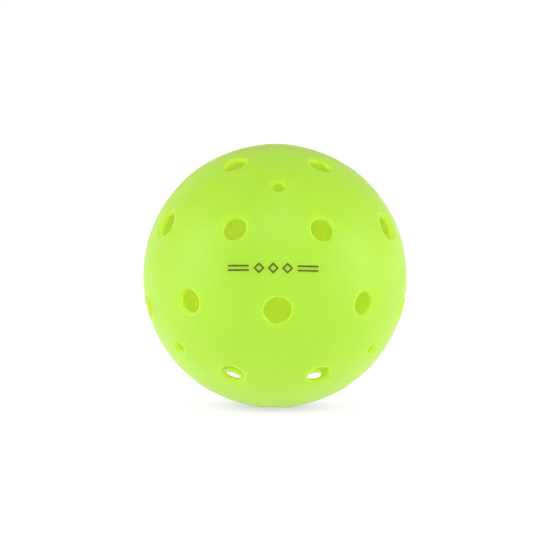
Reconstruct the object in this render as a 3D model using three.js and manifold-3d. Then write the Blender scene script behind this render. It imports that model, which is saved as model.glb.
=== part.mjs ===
// A pickleball: a hollow ball of hard plastic with 38 round holes in three sizes. Two moulded half
// shells meet at a seam round the ball's middle, where a ring of weld plastic joins them.
//
// Millimetres, +Z up, origin at the ball's centre. The ball lies on a floor at -Z. It is built with
// the seam in the XY plane and then tipped over, so that the front half faces -Y. The plane x = 0
// mirrors the left of the ball onto its right.

import * as THREE from "three";
import { mergeVertices } from "three/addons/utils/BufferGeometryUtils.js";
import Module from "manifold-3d";

// Shell
const ballDiameter = 74;
const wallThickness = 1.75;

// Holes, by diameter. The eight large ones are at the corners of a cube, the six small ones at the
// middles of its faces, and four medium ones stand round each small one.
const largeHole = 7.4;
const mediumHole = 6.5;
const smallHole = 3.5;

// Weld: a thin layer between the halves, which swells into a bead on the inside of the wall
const weldThickness = 0.5;
const beadWidth = 2.4;
const beadHeight = 0.7;

// How the ball lies: the large hole nearest the floor looks this far off straight down
const leanDegrees = 10;

// Facets
const sidesRound = 48;
const stepsToPole = 12;
const holeSides = 20;
const beadSteps = 8;

const outerRadius = ballDiameter / 2;
const innerRadius = outerRadius - wallThickness;
const plasticYellow = new THREE.MeshStandardMaterial({ color: 0xb9ea46, roughness: 0.42, metalness: 0 });
const weldYellow = new THREE.MeshStandardMaterial({ color: 0xaade3c, roughness: 0.35, metalness: 0 });

const wasm = await Module();
wasm.setup();

// A closed geometry as a solid for cutting.
function solidFrom(geometry) {
  const bare = geometry.clone();
  bare.deleteAttribute("normal");
  bare.deleteAttribute("uv");
  const merged = mergeVertices(bare);
  const vertProperties = merged.attributes.position.array;
  const triVerts = new Uint32Array(merged.index.array);
  return new wasm.Manifold(new wasm.Mesh({ numProp: 3, vertProperties, triVerts }));
}

// A cut solid as a geometry again.
function geometryFrom(solid) {
  const mesh = solid.getMesh();
  const geometry = new THREE.BufferGeometry();
  geometry.setAttribute("position", new THREE.BufferAttribute(mesh.vertProperties, 3));
  geometry.setIndex(new THREE.BufferAttribute(mesh.triVerts, 1));
  geometry.computeVertexNormals();
  return geometry;
}

// The point at a height on a circle about the ball's centre, in the profile plane.
function pointAtHeight(radius, height) {
  return new THREE.Vector2(Math.sqrt(radius ** 2 - height ** 2), height);
}

// Points of such a circle from a height up to the pole.
function arcToPole(radius, startHeight) {
  const start = Math.acos(startHeight / radius);
  const points = [];
  for (let step = 0; step <= stepsToPole; step += 1) {
    const angle = start * (1 - step / stepsToPole);
    points.push(new THREE.Vector2(radius * Math.sin(angle), radius * Math.cos(angle)));
  }
  return points;
}

// The directions of the 38 holes with their sizes, with the seam plane across one of the cube's
// diagonals, so that it passes between the holes and leaves 19 of them in each half.
function holesInMould() {
  const towardsPole = new THREE.Vector3(1, 1, 1).normalize();
  const up = new THREE.Vector3(-1, -1, 2).normalize();
  const right = new THREE.Vector3().crossVectors(up, towardsPole);
  const cubeToMould = new THREE.Matrix4().makeBasis(right, up, towardsPole).transpose();
  const holes = [];
  const coordinates = [-2, -1, 0, 1, 2];
  for (const x of coordinates) {
    for (const y of coordinates) {
      for (const z of coordinates) {
        const spread = [x, y, z].map(Math.abs).sort().join("");
        const diameter = { "001": smallHole, "012": mediumHole, "111": largeHole }[spread];
        if (diameter) {
          const direction = new THREE.Vector3(x, y, z).normalize().applyMatrix4(cubeToMould);
          holes.push({ direction, diameter });
        }
      }
    }
  }
  return holes;
}

// A cutter that goes through the wall along a hole's axis.
function holeCutter({ direction, diameter }) {
  const length = 4 * wallThickness;
  const geometry = new THREE.CylinderGeometry(diameter / 2, diameter / 2, length, holeSides);
  geometry.translate(0, (outerRadius + innerRadius) / 2, 0);
  const turn = new THREE.Quaternion().setFromUnitVectors(new THREE.Vector3(0, 1, 0), direction);
  geometry.applyQuaternion(turn);
  return solidFrom(geometry);
}

// One half of the ball on its side of the seam: side is 1 for the half round +Z, -1 for the other.
function halfShell(side) {
  const edge = weldThickness / 2;
  const profile = [
    ...arcToPole(innerRadius, beadWidth / 2).reverse(),
    pointAtHeight(innerRadius, edge),
    ...arcToPole(outerRadius, edge),
  ];
  const geometry = new THREE.LatheGeometry(profile, sidesRound);
  geometry.rotateX((side * Math.PI) / 2);
  let solid = solidFrom(geometry);
  for (const hole of holesInMould()) {
    if (hole.direction.z * side > 0) {
      solid = solid.subtract(holeCutter(hole));
    }
  }
  return geometryFrom(solid);
}

// The weld layer that fills the seam through the whole wall, with its bead on the inside.
function weldRing() {
  const edge = weldThickness / 2;
  const halfWidth = beadWidth / 2;
  const foot = pointAtHeight(innerRadius, halfWidth).x;
  const profile = [
    pointAtHeight(outerRadius, -edge),
    pointAtHeight(outerRadius, edge),
    pointAtHeight(innerRadius, edge),
  ];
  for (let step = 0; step <= beadSteps; step += 1) {
    const angle = (Math.PI * step) / beadSteps;
    const swell = beadHeight * Math.sin(angle);
    profile.push(new THREE.Vector2(foot - swell, halfWidth * Math.cos(angle)));
  }
  profile.push(pointAtHeight(innerRadius, -edge));
  profile.push(profile[0].clone());
  const geometry = new THREE.LatheGeometry(profile, sidesRound);
  geometry.rotateX(Math.PI / 2);
  return geometry;
}

function part(name, geometry, material) {
  const mesh = new THREE.Mesh(geometry, material);
  mesh.name = name;
  return mesh;
}

// The mould's +Z becomes the front. The large hole below it stands an angle of acos(1/3) round from
// the front one, and it ends up leaning by leanDegrees from straight down towards the front.
const ball = new THREE.Group();
const diagonalAngle = Math.acos(1 / 3);
ball.rotation.x = Math.PI - diagonalAngle - THREE.MathUtils.degToRad(leanDegrees);
ball.add(part("front_half_shell", halfShell(1), plasticYellow));
ball.add(part("rear_half_shell", halfShell(-1), plasticYellow));
ball.add(part("weld_bead", weldRing(), weldYellow));

const root = new THREE.Group();
root.add(ball);
export default root;
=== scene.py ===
"""A pickleball: a hollow, perforated ball of translucent yellow-green plastic on a pale floor.

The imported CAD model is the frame. Each of its solids is shown by a finer surface: two half shells
with rounded hole rims, and the weld bead that joins them. A printed mark lies on the front half.
Metres, +Z up, origin at the ball's centre, the front half towards -Y.
"""

import itertools
import math

import bmesh
import bpy
from mathutils import Matrix, Vector


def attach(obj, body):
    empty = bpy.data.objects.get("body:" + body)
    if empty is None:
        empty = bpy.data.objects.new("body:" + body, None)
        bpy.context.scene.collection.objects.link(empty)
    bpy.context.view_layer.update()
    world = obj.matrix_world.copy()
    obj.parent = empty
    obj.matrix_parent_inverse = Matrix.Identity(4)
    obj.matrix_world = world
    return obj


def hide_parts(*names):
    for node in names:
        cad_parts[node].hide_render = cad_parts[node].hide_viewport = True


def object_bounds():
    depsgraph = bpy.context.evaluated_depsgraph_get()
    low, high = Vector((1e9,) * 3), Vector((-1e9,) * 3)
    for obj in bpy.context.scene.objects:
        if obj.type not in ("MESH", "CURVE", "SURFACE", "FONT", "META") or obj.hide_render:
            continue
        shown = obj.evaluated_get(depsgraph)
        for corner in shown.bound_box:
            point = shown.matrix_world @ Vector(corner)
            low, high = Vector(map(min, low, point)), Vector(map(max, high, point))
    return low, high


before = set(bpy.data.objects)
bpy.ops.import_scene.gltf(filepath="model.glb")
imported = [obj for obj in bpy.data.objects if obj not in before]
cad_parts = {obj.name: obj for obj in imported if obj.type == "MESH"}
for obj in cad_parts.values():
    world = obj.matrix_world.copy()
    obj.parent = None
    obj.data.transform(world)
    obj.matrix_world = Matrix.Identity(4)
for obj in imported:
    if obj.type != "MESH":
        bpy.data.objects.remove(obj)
cad_low, cad_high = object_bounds()

MM = 0.001

# Shell
BALL_RADIUS = cad_high.z
WALL = 1.75 * MM
INNER_RADIUS = BALL_RADIUS - WALL
LEAN = math.radians(10)  # the lowest large hole looks this far off straight down

# Holes, by diameter, with the rounding of their rims
LARGE_HOLE = 7.4 * MM
MEDIUM_HOLE = 6.5 * MM
SMALL_HOLE = 3.5 * MM
OUTER_RIM = 0.2 * MM
INNER_RIM = 0.15 * MM
SWELL = 0.16 * MM  # how far the skin stands up round a hole
SWELL_PEAK = 0.9 * MM  # from the rim

# Seam and weld
SEAM_GAP = 0.5 * MM
SEAM_RIM = 0.12 * MM
WELD_CROWN = 0.02 * MM  # proud of the skin in the middle of the strip
WELD_SINK = 0.06 * MM  # below the skin at the strip's sides
BEAD_WIDTH = 2.4 * MM
BEAD_HEIGHT = 0.7 * MM
BEAD_ROUNDNESS = 0.35  # share of the bead's height that is one roll, the rest is two
BEAD_WAVES = ((7, 0.10, 1), (19, 0.06, 0))  # waves round the ring, share of the height, start
CLEARANCE = 0.01 * MM

# Fineness of the surfaces
EDGE_STEP = 0.9 * MM
OUTER_RINGS = 10
INNER_RINGS = 7
RIM_STEPS = 4
BORE_STEPS = 3
RING_CROWDING = 1.35
WELD_SIDES = 300
WELD_STEPS = 6
BEAD_STEPS = 24
MERGE = 0.002 * MM
TINY = 1e-6
SAME_CORNER = 1e-4

# Printed mark, seen flat from in front of its centre
MARK_ABOVE_HOLE = math.radians(17.7)
MARK_ASIDE = -1.3 * MM
MARK_LENGTH = 23.8 * MM
MARK_HEIGHT = 2.75 * MM
STROKE = 0.42 * MM
STROKE_STEP = 0.4 * MM
INK_PROUD = 0.02 * MM
INK_SUNK = 0.02 * MM
DIAMONDS = 3
DIAMOND_PITCH = 3.75 * MM
BAR_LENGTH = 5.5 * MM

# Materials: the two ends of each colour's range in 8-bit display values, and of its roughness
SKIN = ((176, 217, 49), (180, 221, 53)), (0.36, 0.44)
# The bore and inside colours are paler copies of the skin's plastic. This is painted light: it makes
# the hole walls and the ball's inside as bright as the light gathered in the hollow ball.
BORE = ((218, 247, 90), (222, 249, 96)), (0.4, 0.5)
INSIDE = ((243, 253, 160), (246, 255, 166)), (0.4, 0.5)
WELD = ((173, 215, 44), (177, 219, 48)), (0.28, 0.34)
# The bead colour is a paler copy of the weld plastic, like the inside colour. It is painted light on
# the weld's inner face.
BEAD = ((240, 251, 140), (243, 253, 146)), (0.28, 0.34)
INK = ((76, 92, 22), (94, 112, 28)), (0.45, 0.6)
FLOOR = (100, 100, 100), (104, 104, 104)
SCATTER = (2.2, 3, 0.6)  # how far red, green and blue light spreads in the plastic, in millimetres
SHEEN = 0.4
PLASTIC_IOR = 1.5
INK_SHEEN = 0.2
FLOOR_SHEEN = 0.1
FLOOR_ROUGHNESS = 0.9

# Fineness of the materials' detail, in features to the metre, and depth of the relief
TINT_SCALE = 45
GLOSS_SCALE = 220
WAVE_SCALE = 130
WAVE_DEPTH = 0.06 * MM
WAVE_STRENGTH = 0.35
GRAIN_SCALE = 2600
GRAIN_DEPTH = 0.01 * MM
GRAIN_STRENGTH = 0.5
INK_TINT_SCALE = 900
INK_GLOSS_SCALE = 1500
FLOOR_TINT_SCALE = 3
NOISE_MIDDLE = (0.3, 0.7)

# Camera, as degrees round and above the ball
CAMERA_AROUND = -1.28
CAMERA_ABOVE = 5.05
CAMERA_ROLL = 0.83
CAMERA_DISTANCE = 14.6 * BALL_RADIUS
CAMERA_LENS = 125.6
CAMERA_SENSOR = 36
CAMERA_SHIFT = 0.0015

# Studio
SURROUND = ((5, 1.05), (14, 0.8), (38, 0.5), (90, 0.64))  # degrees above level, and brightness
FLOOR_SIZE = 1.6
FLOOR_GLOW = 1.0
# Painted shadow: the floor's glow at each distance from where the ball rests, dimmed under the ball.
SHADE = ((0, 0.45), (8 * MM, 0.72), (14 * MM, 0.88), (26 * MM, 0.96), (48 * MM, 1.0))
SHADE_REACH = SHADE[-1][0]
SHADE_STRETCH = 1.35  # sideways
SOFTBOXES = (
    # name, degrees round, degrees up, distance, width, height, power
    ("left_softbox", -75, 12, 1.0, 0.6, 0.9, 3.6),
    ("right_softbox", 72, 12, 1.0, 0.6, 0.9, 3.6),
    ("front_softbox", 0, 48, 1.2, 0.9, 0.5, 3.2),
)
LIGHT_BOUNCES = 32


def srgb(red, green, blue):
    """An 8-bit display colour as linear values with alpha."""
    def linear(value):
        share = value / 255
        return share / 12.92 if share <= 0.04045 else ((share + 0.055) / 1.055) ** 2.4

    return (linear(red), linear(green), linear(blue), 1.0)


# ---------------------------------------------------------------- hole pattern


def holes_in_mould():
    """Direction and diameter of each hole, with the seam in the XY plane and a large hole on +Z.

    The large holes are at the corners of a cube, the small ones at the middles of its faces, and
    four medium ones stand round each small one.
    """
    pole = Vector((1, 1, 1)).normalized()
    up = Vector((-1, -1, 2)).normalized()
    cube_to_mould = Matrix((up.cross(pole), up, pole))
    diameters = {(0, 0, 1): SMALL_HOLE, (0, 1, 2): MEDIUM_HOLE, (1, 1, 1): LARGE_HOLE}
    holes = []
    for corner in itertools.product(range(-2, 3), repeat=3):
        diameter = diameters.get(tuple(sorted(map(abs, corner))))
        if diameter:
            holes.append((cube_to_mould @ Vector(corner).normalized(), diameter))
    return holes


def mould_to_ball():
    """Tips the ball from its mould position to the way it lies, the front hole a little low."""
    between_large_holes = math.acos(1 / 3)
    return Matrix.Rotation(math.pi - between_large_holes - LEAN, 4, "X")


# ---------------------------------------------------------------- mesh helpers


def between(start, end, share):
    """A direction part of the way from one direction to another, along the great circle."""
    angle = start.angle(end)
    near = math.sin((1 - share) * angle)
    far = math.sin(share * angle)
    return (start * near + end * far) / math.sin(angle)


def finished_mesh(name, points, faces, materials, kinds=None):
    """A closed, smooth object in its lying position, with matching points merged.

    kinds gives each face's place in the list of materials, where there is more than one.
    """
    mesh = bpy.data.meshes.new(name)
    mesh.from_pydata(points, [], faces)
    if kinds:
        mesh.polygons.foreach_set("material_index", kinds)
    work = bmesh.new()
    work.from_mesh(mesh)
    bmesh.ops.remove_doubles(work, verts=work.verts, dist=MERGE)
    bmesh.ops.recalc_face_normals(work, faces=work.faces)
    for face in work.faces:
        face.smooth = True
    work.to_mesh(mesh)
    work.free()
    mesh.transform(mould_to_ball())
    for material in materials:
        mesh.materials.append(material)
    piece = bpy.data.objects.new(name, mesh)
    bpy.context.scene.collection.objects.link(piece)
    return piece


# ---------------------------------------------------------------- half shells


def cell_edge(centre, limits):
    """Directions in order round the part of a half that is nearest to one hole.

    limits are the inward normals of the planes that bound it: the seam, and the planes midway to
    the other holes of the half.
    """
    corners = []
    for first, second in itertools.combinations(limits, 2):
        line = first.cross(second)
        if line.length < TINY:
            continue
        for corner in (line.normalized(), -line.normalized()):
            inside = all(corner.dot(limit) > -TINY for limit in limits)
            if inside and all((corner - known).length > SAME_CORNER for known in corners):
                corners.append(corner)
    across = centre.orthogonal().normalized()
    along = centre.cross(across)
    corners.sort(key=lambda corner: math.atan2(corner.dot(along), corner.dot(across)))
    directions = []
    for start, end in zip(corners, corners[1:] + corners[:1]):
        steps = max(2, round(start.angle(end) * BALL_RADIUS / EDGE_STEP))
        directions += [between(start, end, step / steps) for step in range(steps)]
    return directions


def rim_profile(hole_radius):
    """Points (distance from the hole's axis, height along it) down the rim, bore and inner rim."""
    points = []

    def add_rounding(size, distance, height, start, turn):
        """A quarter round of a rim, about a point at this distance and height."""
        for step in range(RIM_STEPS + 1):
            angle = start + turn * step / RIM_STEPS
            points.append((distance + size * math.sin(angle), height + size * math.cos(angle)))

    outer_centre = hole_radius + OUTER_RIM
    outer_tilt = math.asin(outer_centre / (BALL_RADIUS - OUTER_RIM))
    bore_top = (BALL_RADIUS - OUTER_RIM) * math.cos(outer_tilt)
    inner_centre = hole_radius + INNER_RIM
    inner_tilt = math.asin(inner_centre / (INNER_RADIUS + INNER_RIM))
    bore_end = (INNER_RADIUS + INNER_RIM) * math.cos(inner_tilt)
    add_rounding(OUTER_RIM, outer_centre, bore_top, outer_tilt, -outer_tilt - math.pi / 2)
    for step in range(1, BORE_STEPS):
        points.append((hole_radius, bore_top + (bore_end - bore_top) * step / BORE_STEPS))
    add_rounding(INNER_RIM, inner_centre, bore_end, -math.pi / 2, inner_tilt - math.pi / 2)
    return points


def seam_profile():
    """Points (distance from the seam's axis, height) down a half's edge, outside to inside."""
    points = []
    height = SEAM_GAP / 2 + SEAM_RIM
    for radius, start, end in (
        (BALL_RADIUS - SEAM_RIM, 0, -1),
        (INNER_RADIUS + SEAM_RIM, -1, -2),
    ):
        tilt = math.asin(height / radius)
        middle = radius * math.cos(tilt)
        for step in range(RIM_STEPS + 1):
            share = start + (end - start) * step / RIM_STEPS
            angle = tilt * abs(1 + share) + share * math.pi / 2
            points.append((middle + SEAM_RIM * math.cos(angle), height + SEAM_RIM * math.sin(angle)))
    return points


def swelling(reach, share):
    """The skin's rise at a share of the reach from a hole's rim to its cell's edge."""
    way = reach * share / SWELL_PEAK
    return SWELL * way * math.exp(1 - way) * (1 - share) ** 2


def shell_column(centre, radius, outer_end, inner_end):
    """One line of points from a cell's edge to its hole, through the wall, and back out inside."""
    profile = rim_profile(radius)
    away = (outer_end - centre * outer_end.dot(centre)).normalized()
    through = [centre * height + away * distance for distance, height in profile]
    outer_rim = through[0].normalized()
    inner_rim = through[-1].normalized()
    column = []
    reach = outer_rim.angle(outer_end) * BALL_RADIUS
    for ring in range(OUTER_RINGS, 0, -1):
        share = (ring / OUTER_RINGS) ** RING_CROWDING
        column.append(between(outer_rim, outer_end, share) * (BALL_RADIUS + swelling(reach, share)))
    column += through
    for ring in range(1, INNER_RINGS + 1):
        share = (ring / INNER_RINGS) ** RING_CROWDING
        column.append(between(inner_rim, inner_end, share) * INNER_RADIUS)
    return column


def half_shell(name, side, skin, bore, inside):
    """One half of the ball: side is 1 for the half round the mould's +Z, -1 for the other."""
    seam_up = Vector((0, 0, side))
    seam_points = seam_profile()
    holes = [hole for hole in holes_in_mould() if hole[0].z * side > 0]
    # The bore and inner rim rows take the bore plastic, and the inner rows take the inside plastic.
    # Both are paler copies with painted light.
    column_kinds = [0] * (OUTER_RINGS + RIM_STEPS) + [1] * (BORE_STEPS + RIM_STEPS) + [2] * INNER_RINGS
    seam_kinds = [0] * RIM_STEPS + [1] * (RIM_STEPS + 1)
    points = []
    faces = []
    kinds = []

    def add_strip(columns, row_kinds):
        """Joins two neighbouring columns with quads, each row in its own material."""
        start = len(points)
        count = len(columns[0])
        points.extend(columns[0] + columns[1])
        for row in range(count - 1):
            near = start + row
            far = near + count
            faces.append((near, near + 1, far + 1, far))
            kinds.append(row_kinds[row])

    for centre, diameter in holes:
        limits = [seam_up]
        limits += [(centre - other).normalized() for other, _ in holes if other != centre]
        columns = []
        for direction in cell_edge(centre, limits):
            on_seam = abs(direction.z) < TINY
            outer_end = inner_end = direction
            seam_column = None
            if on_seam:
                flat = Vector((direction.x, direction.y, 0)).normalized()
                seam_column = [flat * distance + seam_up * height for distance, height in seam_points]
                outer_end = seam_column[0].normalized()
                inner_end = seam_column[-1].normalized()
            column = shell_column(centre, diameter / 2, outer_end, inner_end)
            columns.append((column, seam_column))
        for (column, seam), (next_column, next_seam) in zip(columns, columns[1:] + columns[:1]):
            add_strip((column, next_column), column_kinds)
            if seam and next_seam:
                add_strip((seam, next_seam), seam_kinds)
    return finished_mesh(name, points, faces, (skin, bore, inside), kinds)


# ---------------------------------------------------------------- weld bead


def weld_bead(skin, inside):
    """The ring of melted plastic: flush outside, and two rolls side by side on the inside."""
    edge = SEAM_GAP / 2 - CLEARANCE
    half_width = BEAD_WIDTH / 2
    foot = math.sqrt(INNER_RADIUS**2 - half_width**2) - CLEARANCE
    outside = []
    for step in range(WELD_STEPS + 1):
        share = 2 * step / WELD_STEPS - 1
        drop = (WELD_CROWN + WELD_SINK) * share**2
        outside.append((BALL_RADIUS + WELD_CROWN - drop, share * edge))
    points = []
    for side in range(WELD_SIDES):
        around = 2 * math.pi * side / WELD_SIDES
        waves = 1 + sum(size * math.sin(count * around + start) for count, size, start in BEAD_WAVES)
        ring = outside + [(INNER_RADIUS - CLEARANCE, edge)]
        for step in range(BEAD_STEPS + 1):
            turn = math.pi * step / BEAD_STEPS
            one_roll = math.sin(turn)
            two_rolls = abs(math.sin(2 * turn))
            swell = BEAD_ROUNDNESS * one_roll + (1 - BEAD_ROUNDNESS) * two_rolls
            ring.append((foot - BEAD_HEIGHT * waves * swell, half_width * math.cos(turn)))
        ring.append((INNER_RADIUS - CLEARANCE, -edge))
        for distance, height in ring:
            points.append(Vector((distance * math.cos(around), distance * math.sin(around), height)))
    count = len(ring)
    faces = []
    kinds = []
    for side in range(WELD_SIDES):
        near = side * count
        far = (side + 1) % WELD_SIDES * count
        for row in range(count):
            following = (row + 1) % count
            faces.append((near + row, near + following, far + following, far + row))
            # The inner faces take the second material, a paler copy of the weld plastic with painted
            # light.
            kinds.append(0 if row < len(outside) - 1 else 1)
    return finished_mesh("weld_ring", points, faces, (skin, inside), kinds)


# ---------------------------------------------------------------- printed mark


def on_ball(across, up, lift):
    """A point of the mark's flat drawing, laid on the front of the ball in the mould position."""
    centre = Vector((0, math.sin(MARK_ABOVE_HOLE), math.cos(MARK_ABOVE_HOLE)))
    right = Vector((1, 0, 0))
    upward = centre.cross(right)
    sideways = across + MARK_ASIDE
    depth = math.sqrt(BALL_RADIUS**2 - sideways**2 - up**2)
    point = right * sideways + upward * up + centre * depth
    return point * ((BALL_RADIUS + lift) / BALL_RADIUS)


def stroke(path, closed, points, faces):
    """A band of ink of even width along a path of (across, up) points, as a thin closed solid."""
    corners = [Vector(corner) for corner in path]
    count = len(corners)
    last = count if closed else count - 1

    def side_of(index):
        """Half the band's width to the left at a corner, mitred between its two stretches."""
        back = corners[index] - corners[index - 1] if closed or index else None
        ahead = corners[(index + 1) % count] - corners[index] if closed or index < count - 1 else None
        known = [stretch.normalized() for stretch in (back, ahead) if stretch]
        along = sum(known, Vector((0, 0))).normalized()
        left = Vector((-along.y, along.x))
        square = Vector((-known[-1].y, known[-1].x))
        return left * (STROKE / 2 / left.dot(square))

    sections = []
    for index in range(last):
        start, end = corners[index], corners[(index + 1) % count]
        start_side, end_side = side_of(index), side_of((index + 1) % count)
        steps = max(1, round((end - start).length / STROKE_STEP))
        for step in range(steps):
            share = step / steps
            sections.append((start.lerp(end, share), start_side.lerp(end_side, share)))
    if not closed:
        sections.append((corners[-1], side_of(count - 1)))
    first = len(points)
    for middle, left in sections:
        for edge, lift in ((middle + left, INK_PROUD), (middle - left, INK_PROUD),
                           (middle - left, -INK_SUNK), (middle + left, -INK_SUNK)):
            points.append(on_ball(edge.x, edge.y, lift))
    total = len(sections)
    for index in range(total if closed else total - 1):
        near = first + 4 * index
        far = first + 4 * ((index + 1) % total)
        for corner in range(4):
            following = (corner + 1) % 4
            faces.append((near + corner, near + following, far + following, far + corner))
    if not closed:
        faces.append((first, first + 1, first + 2, first + 3))
        end = first + 4 * (total - 1)
        faces.append((end, end + 1, end + 2, end + 3))


def printed_mark(material):
    """A row of hollow diamonds between two pairs of bars."""
    points = []
    faces = []
    reach = (MARK_HEIGHT - STROKE) / 2
    for index in range(DIAMONDS):
        middle = (index - (DIAMONDS - 1) / 2) * DIAMOND_PITCH
        path = [(middle + reach, 0), (middle, reach), (middle - reach, 0), (middle, -reach)]
        stroke(path, True, points, faces)
    for side in (-1, 1):
        for level in (-1, 1):
            outer = side * MARK_LENGTH / 2
            inner = outer - side * BAR_LENGTH
            stroke([(inner, level * reach / 2), (outer, level * reach / 2)], False, points, faces)
    return finished_mesh("printed_mark", points, faces, (material,))


# ---------------------------------------------------------------- materials


def new_material(name):
    """A new material, with its node tree and its main shader."""
    material = bpy.data.materials.new(name)
    material.use_nodes = True
    tree = material.node_tree
    return material, tree, tree.nodes["Principled BSDF"]


def noise(tree, scale, detail=2.0):
    """Noise fixed to the object, scale in features to the metre."""
    place = tree.nodes.new("ShaderNodeTexCoord")
    texture = tree.nodes.new("ShaderNodeTexNoise")
    texture.inputs["Scale"].default_value = scale
    texture.inputs["Detail"].default_value = detail
    tree.links.new(place.outputs["Object"], texture.inputs["Vector"])
    return texture.outputs["Fac"]


def blend_colours(tree, factor, colours):
    """A colour that goes from one to the other as noise goes over its middle range."""
    ramp = tree.nodes.new("ShaderNodeValToRGB")
    for element, position, colour in zip(ramp.color_ramp.elements, NOISE_MIDDLE, colours):
        element.position = position
        element.color = srgb(*colour)
    tree.links.new(factor, ramp.inputs["Fac"])
    return ramp.outputs["Color"]


def blend_values(tree, factor, values):
    """A value that goes from one to the other as noise goes over its middle range."""
    spread = tree.nodes.new("ShaderNodeMapRange")
    spread.inputs["From Min"].default_value, spread.inputs["From Max"].default_value = NOISE_MIDDLE
    spread.inputs["To Min"].default_value, spread.inputs["To Max"].default_value = values
    tree.links.new(factor, spread.inputs["Value"])
    return spread.outputs["Result"]


def bump(tree, factor, depth, strength, beneath=None):
    """Relief of a certain depth, on top of any other relief beneath it."""
    node = tree.nodes.new("ShaderNodeBump")
    node.inputs["Distance"].default_value = depth
    node.inputs["Strength"].default_value = strength
    tree.links.new(factor, node.inputs["Height"])
    if beneath:
        tree.links.new(beneath, node.inputs["Normal"])
    return node.outputs["Normal"]


def moulded_plastic(name, look, translucency=1.0):
    """Translucent polyethylene: light spreads in the wall, and the skin has a fine mould grain."""
    colours, roughness = look
    material, tree, shader = new_material(name)
    links = tree.links
    links.new(blend_colours(tree, noise(tree, TINT_SCALE), colours), shader.inputs["Base Color"])
    links.new(blend_values(tree, noise(tree, GLOSS_SCALE, 4), roughness), shader.inputs["Roughness"])
    waves = bump(tree, noise(tree, WAVE_SCALE), WAVE_DEPTH, WAVE_STRENGTH)
    grain = bump(tree, noise(tree, GRAIN_SCALE, 3), GRAIN_DEPTH, GRAIN_STRENGTH, waves)
    links.new(grain, shader.inputs["Normal"])
    shader.inputs["Subsurface Weight"].default_value = translucency
    shader.inputs["Subsurface Radius"].default_value = SCATTER
    shader.inputs["Subsurface Scale"].default_value = MM
    shader.inputs["IOR"].default_value = PLASTIC_IOR
    shader.inputs["Specular IOR Level"].default_value = SHEEN
    return material


def printing_ink(name, look):
    """A matt film of slightly uneven ink."""
    colours, roughness = look
    material, tree, shader = new_material(name)
    colour = blend_colours(tree, noise(tree, INK_TINT_SCALE, 3), colours)
    tree.links.new(colour, shader.inputs["Base Color"])
    gloss = blend_values(tree, noise(tree, INK_GLOSS_SCALE), roughness)
    tree.links.new(gloss, shader.inputs["Roughness"])
    shader.inputs["Specular IOR Level"].default_value = INK_SHEEN
    return material


def set_ramp(node, steps):
    """Gives a colour ramp its greys as (position, brightness) pairs."""
    elements = node.color_ramp.elements
    elements.remove(elements[1])
    for index, (position, light) in enumerate(sorted(steps)):
        step = elements.new(position) if index else elements[0]
        step.position = position
        step.color = (light, light, light, 1)


def light_table():
    """A pale floor that also glows, as a sheet lit from beneath does, with a painted shadow: its glow
    is dimmed round where the ball rests.
    """
    material, tree, shader = new_material("light_table")
    links = tree.links
    colour = blend_colours(tree, noise(tree, FLOOR_TINT_SCALE), FLOOR)
    links.new(colour, shader.inputs["Base Color"])
    shader.inputs["Roughness"].default_value = FLOOR_ROUGHNESS
    shader.inputs["Specular IOR Level"].default_value = FLOOR_SHEEN
    # Painted shadow: a ramp on the distance from the ball's resting point dims the glow round the
    # ball.
    place = tree.nodes.new("ShaderNodeTexCoord")
    middle = tree.nodes.new("ShaderNodeTexGradient")
    middle.gradient_type = "SPHERICAL"
    spread = tree.nodes.new("ShaderNodeMapping")
    spread.inputs["Scale"].default_value = (1 / SHADE_REACH / SHADE_STRETCH, 1 / SHADE_REACH, 0)
    shade = tree.nodes.new("ShaderNodeValToRGB")
    links.new(place.outputs["Object"], spread.inputs["Vector"])
    links.new(spread.outputs["Vector"], middle.inputs["Vector"])
    links.new(middle.outputs["Fac"], shade.inputs["Fac"])
    shade.color_ramp.interpolation = "B_SPLINE"
    set_ramp(shade, [(1 - away / SHADE_REACH, light) for away, light in SHADE])
    links.new(shade.outputs["Color"], shader.inputs["Emission Color"])
    shader.inputs["Emission Strength"].default_value = FLOOR_GLOW
    return material


# ---------------------------------------------------------------- studio


def floor():
    """A square sheet that the ball lies on."""
    half = FLOOR_SIZE / 2
    corners = [(-half, -half), (half, -half), (half, half), (-half, half)]
    mesh = bpy.data.meshes.new("floor")
    mesh.from_pydata([(x, y, cad_low.z) for x, y in corners], [], [(0, 1, 2, 3)])
    mesh.materials.append(light_table())
    plane = bpy.data.objects.new("floor", mesh)
    bpy.context.scene.collection.objects.link(plane)


def sky():
    """A white surround that darkens upwards, towards an unlit ceiling."""
    world = bpy.data.worlds.new("studio")
    world.use_nodes = True
    nodes = world.node_tree.nodes
    links = world.node_tree.links
    place = nodes.new("ShaderNodeTexCoord")
    split = nodes.new("ShaderNodeSeparateXYZ")
    ramp = nodes.new("ShaderNodeValToRGB")
    set_ramp(ramp, [(math.sin(math.radians(above)), light) for above, light in SURROUND])
    links.new(place.outputs["Generated"], split.inputs["Vector"])
    links.new(split.outputs["Z"], ramp.inputs["Fac"])
    links.new(ramp.outputs["Color"], nodes["Background"].inputs["Color"])
    bpy.context.scene.world = world


def from_angles(around, above, distance):
    """A place seen from the ball: degrees round from the front, degrees up, and how far."""
    turn = math.radians(around)
    rise = math.radians(above)
    flat = distance * math.cos(rise)
    return Vector((flat * math.sin(turn), -flat * math.cos(turn), distance * math.sin(rise)))


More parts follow.
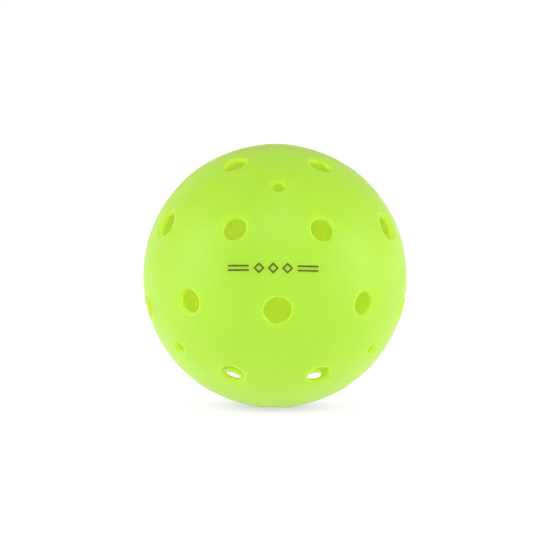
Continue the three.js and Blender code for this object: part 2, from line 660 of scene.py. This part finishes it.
def softbox(name, around, above, distance, width, height, power):
    """A rectangular lamp that faces the ball."""
    light = bpy.data.lights.new(name, "AREA")
    light.shape = "RECTANGLE"
    light.size = width
    light.size_y = height
    light.energy = power
    lamp = bpy.data.objects.new(name, light)
    lamp.location = from_angles(around, above, distance)
    lamp.rotation_euler = (-lamp.location).to_track_quat("-Z", "Y").to_euler()
    bpy.context.scene.collection.objects.link(lamp)


def camera():
    """The main view, aimed at the ball's centre."""
    data = bpy.data.cameras.new("camera")
    data.lens = CAMERA_LENS
    data.sensor_width = CAMERA_SENSOR
    data.shift_y = CAMERA_SHIFT
    holder = bpy.data.objects.new("camera", data)
    place = from_angles(CAMERA_AROUND, CAMERA_ABOVE, CAMERA_DISTANCE)
    aim = (-place).to_track_quat("-Z", "Y").to_matrix()
    roll = Matrix.Rotation(math.radians(CAMERA_ROLL), 3, "Z")
    holder.location = place
    holder.rotation_euler = (aim @ roll).to_euler()
    bpy.context.scene.collection.objects.link(holder)
    bpy.context.scene.camera = holder


def studio():
    """The floor, the lights and the camera."""
    scene = bpy.context.scene
    scene.view_settings.view_transform = "Standard"
    scene.cycles.max_bounces = LIGHT_BOUNCES
    scene.cycles.diffuse_bounces = LIGHT_BOUNCES
    floor()
    sky()
    for box in SOFTBOXES:
        softbox(*box)
    camera()


# ---------------------------------------------------------------- the ball


def ball():
    """The pieces, with the CAD solid that each one stands in for."""
    skin = moulded_plastic("shell_plastic", SKIN)
    # The bore, inside and bead materials are paler copies of the plastic. They are painted light
    # standing in for the light gathered inside the ball.
    bore = moulded_plastic("shell_bore_painted_light", BORE)
    inside = moulded_plastic("shell_inside_painted_light", INSIDE)
    weld = moulded_plastic("weld_plastic", WELD, translucency=0.0)
    bead = moulded_plastic("weld_inside_painted_light", BEAD, translucency=0.0)
    ink = printing_ink("print_ink", INK)
    pieces = [
        (half_shell("front_shell", 1, skin, bore, inside), "front_half_shell", "shell_plastic"),
        (half_shell("rear_shell", -1, skin, bore, inside), "rear_half_shell", "shell_plastic"),
        (weld_bead(weld, bead), "weld_bead", "weld_plastic"),
        (printed_mark(ink), None, "print_ink"),
    ]
    for piece, node, slot in pieces:
        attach(piece, "root")
        if node:
            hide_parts(node)


studio()
ball()
